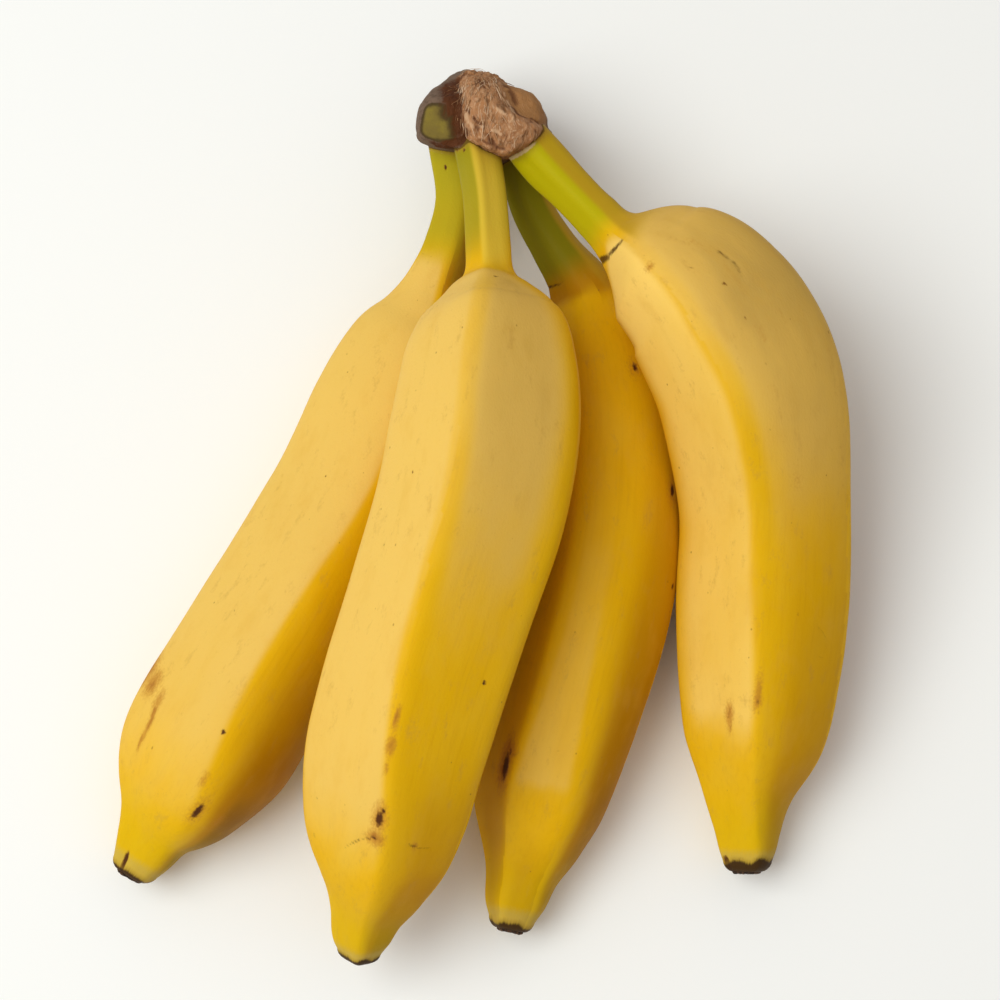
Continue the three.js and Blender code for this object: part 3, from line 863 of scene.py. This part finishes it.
def crown_fibres():
    """Fine threads that lie loose along the cut, and a few hairs that arch off its upper edge."""
    draw = random.Random(11)
    way = np.linspace(0, 1, FIBRE_POINTS)
    points, faces, shade = [], [], []
    start = 0
    for number in range(FIBRES + HAIRS):
        azimuth, down = draw.uniform(-math.pi, math.pi), draw.uniform(0.75, 1.95)
        length, curl = draw.uniform(1.2, 4.5) / CROWN_RADIUS, draw.uniform(-0.16, 0.16)
        radius, lift = draw.uniform(0.03, 0.075), draw.uniform(0, 0.25)
        if number < FIBRES:
            fall = down + length * (way - 0.5)
            sweep = azimuth + curl * way
            round_pole = np.cos(sweep)[:, None] * FIBRE_ACROSS + np.sin(sweep)[:, None] * FIBRE_THIRD
            direction = np.cos(fall)[:, None] * FIBRE_POLE + np.sin(fall)[:, None] * round_pole
        else:
            left, lift, radius = draw.uniform(-6.5, -2.5), draw.uniform(0.2, 0.7), HAIR_RADIUS
            reach = draw.uniform(2, 5)
            direction = np.stack([left + reach * way, 10.5 + 0 * way, draw.uniform(0, 4) + 0 * way], axis=1)
            direction = unit(direction)
        path = crown_skin(direction)
        gauges = lump_gauges(path[:1])[0]
        hollow, depth = stroked(path, "hollow")
        on_torn_lump = min(gauges[:TORN_LUMPS]) < min(gauges[TORN_LUMPS:]) - 0.04
        torn = on_torn_lump and path[:, 2].min() > TORN_ABOVE
        if number < FIBRES and not torn and hollow.min() < 0.55:
            continue
        above = 0.1 + lift * np.sin(way * math.pi) ** 1.5 - depth
        path = path + unit(path - CROWN_MIDDLE) * above[:, None]
        tube, sides = loose_thread(path, radius)
        points.append(tube)
        faces += [[corner + start for corner in face] for face in sides]
        shade.append(np.full(len(tube), number * SHADE_STEP % (1 if torn else 0.3)))
        start += len(tube)
    return solid_mesh("crown_fibres", np.concatenate(points), faces, {"shade": np.concatenate(shade)})


# ---------------------------------------------------------------------------------------------
# Looks
# ---------------------------------------------------------------------------------------------
def linear(code):
    """A colour from its sRGB hex code, in the linear light that shaders use."""
    parts = [int(code[i : i + 2], 16) / 255 for i in (0, 2, 4)]
    return (*(c / 12.92 if c <= 0.04045 else ((c + 0.055) / 1.055) ** 2.4 for c in parts), 1)


def node(tree, kind, inputs=None, out=0, **settings):
    """Adds a node with its settings and its inputs, each a value or another node's socket."""
    made = tree.nodes.new("ShaderNode" + kind)
    for setting, value in settings.items():
        setattr(made, setting, value)
    for socket, value in (inputs or {}).items():
        if isinstance(value, bpy.types.NodeSocket):
            tree.links.new(value, made.inputs[socket])
        else:
            made.inputs[socket].default_value = value
    return made.outputs[out] if made.outputs else None


def finish_material(name):
    """An empty material and its node tree."""
    material = bpy.data.materials.new(name)
    material.use_nodes = True
    material.node_tree.nodes.clear()
    return material, material.node_tree


def grain(tree, place, across, along, detail):
    """Random grain in millimetres, that many across and along the third axis of a place."""
    cells = (1 / across, 1 / across, 1 / along)
    scaled = node(tree, "VectorMath", {0: place, 1: cells}, operation="MULTIPLY")
    return node(tree, "TexNoise", {"Vector": scaled, "Scale": 1, "Detail": detail, "Roughness": 0.55})


def layered(tree, colour, layers):
    """Lays colours over each other. Each is [field, grain that makes its border ragged, how ragged, where
    it starts, where it is full, strength, hex code]."""
    for field, ragged, wobble, start, full, strength, code in layers:
        edge = node(tree, "Math", {0: ragged, 1: wobble, 2: field}, operation="MULTIPLY_ADD")
        share = node(tree, "MapRange", {
            "Value": edge, "From Min": start, "From Max": full, "To Max": strength,
        }, interpolation_type="SMOOTHSTEP")
        colour = node(tree, "Mix", {0: share, 6: colour, 7: linear(code)}, out=2, data_type="RGBA")
    return colour


def banana_peel():
    """Ripe banana peel: a grown leathery skin under a thin bloom of wax. It gives the eye a matt, slightly
    cloudy yellow where the wax lies and a richer one where it is rubbed off, with browned scars, bruises
    and a dark end. Painted sheen makes the wax paler on the lit faces, and painted shade makes the faces
    turned from the light duskier and a deeper orange. Its pores are finer than shows, so the finest grain
    is drawn as coarse as 0.5 mm."""
    material, tree = finish_material("banana_peel")
    straight = node(tree, "Attribute", out="Vector", attribute_name="straight")
    fields = {
        label: node(tree, "Attribute", out="Fac", attribute_name=label)
        for label in (
            "from_neck", "to_tip", "off_crown", "wax_and_sheen", "dusky_wax_and_shade", "painted_sheen", "deep", "stalk_highlight", "stalk_brown",
            "stalk_shade", "stalk_green", "cream", "scar", "bruise", "crack", "stain",
        )
    }
    cloud = grain(tree, straight, 12, 26, 2)
    patch = grain(tree, straight, 5, 11, 3)
    smudge = grain(tree, straight, 2.6, 6, 4)
    streak = grain(tree, straight, 0.8, 14, 3)
    mottle = grain(tree, straight, 1.3, 2, 4)
    fine = grain(tree, straight, 0.45, 0.6, 3)
    to_a_speck = (0.36, 0.36, 0.28)  # a millimetre's share of the way to the next speck
    cells = node(tree, "VectorMath", {0: straight, 1: to_a_speck}, operation="MULTIPLY")
    speck_near = node(tree, "TexVoronoi", {"Vector": cells, "Scale": 1}, out="Distance")
    speck_kind = node(tree, "TexVoronoi", {"Vector": cells, "Scale": 1}, out="Color")
    speck_luck = node(tree, "SeparateColor", {"Color": speck_kind})
    speck = node(tree, "Math", {0: speck_luck, 1: -0.16, 2: speck_near}, operation="MULTIPLY_ADD")
    colour = layered(tree, linear("E2AD06"), [
        # the skin's own clouds and streaks, its faces painted a deeper orange as shade, and the wax with
        #         painted sheen on the lit faces and painted shade past the first ridge
        [cloud, mottle, 0.3, 0.55, 0.95, 0.5, "E8B718"],
        [streak, mottle, 0.2, 0.55, 0.85, 0.3, "D29A06"],
        [fields["deep"], cloud, 0.3, 0.15, 1.25, 1, "B67C00"],
        [fields["deep"], cloud, 0.3, 1.2, 2.1, 1, "8A5C00"],
        [fields["wax_and_sheen"], cloud, 0.4, 0.2, 1.1, 0.95, "E5BC5E"],
        [fields["dusky_wax_and_shade"], cloud, 0.3, 0.3, 1.1, 0.85, "D3A84F"],
        [fields["dusky_wax_and_shade"], cloud, 0.3, 1.2, 2.0, 0.9, "B18B42"],
        [fields["dusky_wax_and_shade"], patch, 1.4, 1.3, 2.2, 0.35, "A98846"],
        [fields["painted_sheen"], cloud, 0.3, 0.1, 1.0, 0.9, "F6CF6C"],
        [patch, mottle, 0.3, 0.62, 0.95, 0.25, "D6A23A"],
        [smudge, fine, 0.3, 0.72, 0.95, 0.35, "B98A3C"],
        # the stalk, with a painted highlight along its edge and painted shade on its darker side, and the
        #         greener skin short of the tip
        [fields["from_neck"], cloud, 8, 2, -8, 0.95, "B49C1E"],
        [fields["from_neck"], cloud, 12, -6, -20, 0.8, "A8991C"],
        [fields["stalk_green"], cloud, 0.3, 0.15, 1.15, 0.95, "B2A606"],
        [fields["stalk_shade"], cloud, 0.4, 0.2, 1.1, 0.95, "827A10"],
        [fields["stalk_brown"], cloud, 0.5, 0.35, 1.1, 0.9, "B78F1E"],
        [fields["stalk_highlight"], patch, 0.4, 0.3, 1.2, 0.85, "D4B238"],
        [fields["to_tip"], cloud, 6, 24, 5, 0.4, "C8AD0A"],
        [fields["to_tip"], fine, 1.5, 3.6, 1.4, 0.45, "B39F58"],
        # bruises, specks, scars and cracks
        [fields["bruise"], fine, 0.8, 0.45, 1.05, 0.7, "B87A28"],
        [fields["bruise"], mottle, 1.6, 1.2, 1.8, 0.6, "96561F"],
        [speck, fine, 0.05, -0.03, -0.08, 0.6, "94661E"],
        [fields["scar"], fine, 0.5, 0.5, 0.85, 0.8, "8A5A1E"],
        [fields["scar"], fine, 0.5, 0.66, 0.95, 0.95, "4E2A14"],
        [fields["crack"], fine, 0.5, 0.4, 1.0, 0.9, "4A2D10"],
        # where it leaves the crown, darker as painted shadow under the crown's lip and browner at its torn
        # edge, and its dark end
        [fields["off_crown"], cloud, 1.5, 3.0, 1.0, 0.5, "AC8434"],
        [fields["cream"], fine, 0.5, 0.5, 1.1, 0.9, "D2B98A"],
        [fields["off_crown"], fine, 0.6, 0.9, 0.4, 0.8, "5A3E1C"],
        [fields["stain"], fine, 0.8, -0.5, 0.9, 0.7, "8A6A20"],
        [fields["stain"], fine, 0.8, 0.3, 0.9, 0.95, "3A2412"],
    ])
    roughness = node(tree, "MapRange", {"Value": mottle, "To Min": 0.44, "To Max": 0.6})
    height = node(tree, "Math", {0: mottle, 1: 0.6, 2: fine}, operation="MULTIPLY_ADD")
    bump = node(tree, "Bump", {"Height": height, "Strength": 0.4, "Distance": 0.1 * MM})
    surface = node(tree, "BsdfPrincipled", {
        "Base Color": colour, "Roughness": roughness, "Normal": bump, "IOR": 1.4,
        "Specular IOR Level": 0.08, "Subsurface Weight": 0.04, "Subsurface Radius": (1.0, 0.5, 0.1),
        "Subsurface Scale": 1.5 * MM,
    })
    node(tree, "OutputMaterial", {"Surface": surface})
    return material


def crown_cork():
    """Dried banana crown: corky dead tissue, cut and torn across its fibres. It gives the eye a dull
    pinkish brown with paler strands, and a greener face where a finger broke off; its hollows and lower
    sides are painted dark as shade, and its raised strands paler as highlights. The fibres are finer
    than shows, so their grain is drawn 0.2 and 0.5 mm wide."""
    material, tree = finish_material("crown_cork")
    place = node(tree, "Attribute", out="Vector", attribute_name="place")
    path = node(tree, "Attribute", out="Vector", attribute_name="path")
    fields = {
        label: node(tree, "Attribute", out="Fac", attribute_name=label)
        for label in ("shoulder", "facet", "stub", "low", "hollow", "tear", "ridge", "rim", "pits")
    }
    blotch = grain(tree, place, 3, 3, 3)
    strand = grain(tree, path, 0.5, 3, 3)
    thread = grain(tree, path, 0.18, 1.4, 3)
    mottle = grain(tree, place, 0.8, 0.8, 4)
    colour = layered(tree, linear("A8744A"), [
        # the cork's own blotches, strands, threads and pits
        [blotch, mottle, 0.4, 0.6, 0.95, 0.7, "855838"],
        [blotch, mottle, 0.4, 0.65, 0.35, 0.5, "C39A7C"],
        [strand, mottle, 0.4, 0.62, 0.9, 0.6, "C2966F"],
        [strand, mottle, 0.4, 0.6, 0.35, 0.7, "6A4428"],
        [thread, mottle, 0.3, 0.66, 0.9, 0.5, "DDBD9C"],
        [thread, mottle, 0.3, 0.5, 0.3, 0.6, "55331C"],
        [fields["pits"], mottle, 0.5, 0.4, 1.3, 0.5, "64401F"],
        # its weathered lumps, and its lower sides painted darker as shade
        [fields["shoulder"], blotch, 0.6, 0.6, 1.3, 0.8, "9C6E3F"],
        [fields["stub"], blotch, 0.7, 0.6, 1.25, 0.85, "65564B"],
        [fields["stub"], mottle, 0.8, 1.3, 1.6, 0.5, "3F3026"],
        [fields["low"], blotch, 1.0, 0.6, 1.4, 0.85, "69523F"],
        [fields["stub"], blotch, 1.2, 1.5, 2.1, 0.5, "8A6E58"],
        # the face where a finger broke off
        [fields["facet"], mottle, 0.5, 0.3, 0.9, 0.95, "75642A"],
        [fields["facet"], blotch, 1.2, 1.4, 1.9, 0.7, "8C7C2A"],
        [fields["rim"], mottle, 0.8, 0.4, 1.3, 0.8, "3C2C18"],
        # raised strands painted paler as highlights, tears, and hollows painted dark as shade
        [fields["ridge"], thread, 0.9, 0.6, 1.3, 0.6, "D8B28C"],
        [fields["tear"], thread, 0.9, 0.65, 1.4, 0.7, "552A14"],
        [fields["hollow"], strand, -0.9, -0.35, 0.3, 0.92, "562A0A"],
    ])
    torn = node(tree, "Math", {0: fields["facet"], 1: -0.85, 2: 1.0}, operation="MULTIPLY_ADD")
    height = node(tree, "Math", {0: thread, 1: 1.0, 2: mottle}, operation="MULTIPLY_ADD")
    height = node(tree, "Math", {0: height, 1: torn}, operation="MULTIPLY")
    bump = node(tree, "Bump", {"Height": height, "Strength": 0.7, "Distance": 0.3 * MM})
    surface = node(tree, "BsdfPrincipled", {
        "Base Color": colour, "Roughness": 0.85, "Normal": bump, "IOR": 1.45, "Specular IOR Level": 0.25,
    })
    node(tree, "OutputMaterial", {"Surface": surface})
    return material


def dry_fibre():
    """Dry plant fibre pulled out of the crown as it was cut. It gives the eye thin matt threads, straw
    brown, some paler and some darker."""
    material, tree = finish_material("dry_fibre")
    shade = node(tree, "Attribute", out="Fac", attribute_name="shade")
    colour = layered(tree, linear("B98E64"), [
        [shade, shade, 0, 0.4, 0.9, 0.85, "E6CCAE"],
        [shade, shade, 0, 0.4, 0.0, 0.85, "6A3E22"],
    ])
    surface = node(tree, "BsdfPrincipled", {
        "Base Color": colour, "Roughness": 0.7, "IOR": 1.45, "Specular IOR Level": 0.3,
    })
    node(tree, "OutputMaterial", {"Surface": surface})
    return material


def dried_flower():
    """Dried flower remains: papery tissue, shrivelled as it dried. It gives the eye a nearly black cap
    with browner raised folds."""
    material, tree = finish_material("dried_flower")
    place = node(tree, "Attribute", out="Vector", attribute_name="place")
    raised = node(tree, "Attribute", out="Fac", attribute_name="raised")
    mottle = grain(tree, place, 0.6, 0.6, 4)
    colour = layered(tree, linear("2E1E13"), [
        [raised, mottle, 0.8, 0.3, 1.1, 0.8, "6A4A30"],
        [raised, mottle, 0.8, 0.2, -0.5, 0.8, "140C07"],
    ])
    bump = node(tree, "Bump", {"Height": mottle, "Strength": 0.6, "Distance": 0.2 * MM})
    surface = node(tree, "BsdfPrincipled", {
        "Base Color": colour, "Roughness": 0.8, "Normal": bump, "IOR": 1.45, "Specular IOR Level": 0.3,
    })
    node(tree, "OutputMaterial", {"Surface": surface})
    return material


peel = banana_peel()
cork = crown_cork()
fibre = dry_fibre()
flower = dried_flower()
for name, fruit in FRUITS.items():
    belongs(peel_piece(name, fruit), "peel", peel, "banana_" + name)
    belongs(flower_piece(name, fruit), "dried_flower", flower, "blossom_end_" + name)
belongs(crown_piece(), "crown_cork", cork, "crown")
belongs(crown_fibres(), "crown_cork", fibre)


# ---------------------------------------------------------------------------------------------
# The pale table, the soft light and the camera
# ---------------------------------------------------------------------------------------------
TABLE_HALF = 3  # m from its middle to an edge
TABLE_GAP = 0.0002  # m between the table and the fruits, so that their faces don't fight


def white_paper():
    """White paper, pressed and uncoated. It gives the eye an even matt white."""
    material, tree = finish_material("white_paper")
    surface = node(tree, "BsdfPrincipled", {
        "Base Color": linear("F6F6F5"), "Roughness": 0.9, "Specular IOR Level": 0.2,
    })
    node(tree, "OutputMaterial", {"Surface": surface})
    return material


def pale_table():
    """A wide flat sheet under the fruit."""
    mesh = bpy.data.meshes.new("table")
    corners = [(x * TABLE_HALF, y * TABLE_HALF, -TABLE_GAP) for x, y in [(-1, -1), (1, -1), (1, 1), (-1, 1)]]
    mesh.from_pydata(corners, [], [(0, 1, 2, 3)])
    mesh.materials.append(white_paper())
    table = bpy.data.objects.new("table", mesh)
    bpy.context.scene.collection.objects.link(table)


def softbox(name, place, aim, size, watts, code):
    """A square area light that faces a point, with places and its side in metres."""
    lamp = bpy.data.lights.new(name, "AREA")
    lamp.shape = "SQUARE"
    lamp.size = size
    lamp.energy = watts
    lamp.color = linear(code)[:3]
    light = bpy.data.objects.new(name, lamp)
    light.location = place
    light.rotation_euler = (Vector(aim) - Vector(place)).to_track_quat("-Z", "Y").to_euler()
    bpy.context.scene.collection.objects.link(light)


pale_table()
softbox("key", place=(-0.6, -0.08, 1.09), aim=(0, 0, 0.03), size=0.9, watts=10.4, code="FAFFFB")

# The sky is brightest overhead and to the left, and dim low on the right.
SKY_LEAN = (-0.14, 0.0, 0.3)
SKY_LEVEL = 0.33  # its strength across the lean
world = bpy.data.worlds.new("studio")
world.use_nodes = True
sky = world.node_tree
toward = node(sky, "TexCoord", out="Generated")
leaning = node(sky, "VectorMath", {0: toward, 1: SKY_LEAN}, out="Value", operation="DOT_PRODUCT")
strength = node(sky, "Math", {0: leaning, 1: SKY_LEVEL}, operation="ADD", use_clamp=True)
sky.links.new(strength, sky.nodes["Background"].inputs["Strength"])
sky.nodes["Background"].inputs["Color"].default_value = linear("FFFBF8")
bpy.context.scene.world = world
bpy.context.scene.view_settings.view_transform = "Standard"

# The camera looks steeply down from the tips' side.
TILT = math.radians(78)
DISTANCE = 0.58  # m from its target
LENS_LENGTH = 104.4  # mm
target = Vector((0.00374, 0.00106, 0.020))
lens = bpy.data.cameras.new("camera")
lens.lens = LENS_LENGTH
lens.clip_start = 0.01
camera = bpy.data.objects.new("camera", lens)
camera.location = target + DISTANCE * Vector((0, -math.cos(TILT), math.sin(TILT)))
camera.rotation_euler = (target - camera.location).to_track_quat("-Z", "Y").to_euler()
bpy.context.scene.collection.objects.link(camera)
bpy.context.scene.camera = camera

bpy.context.view_layer.update()
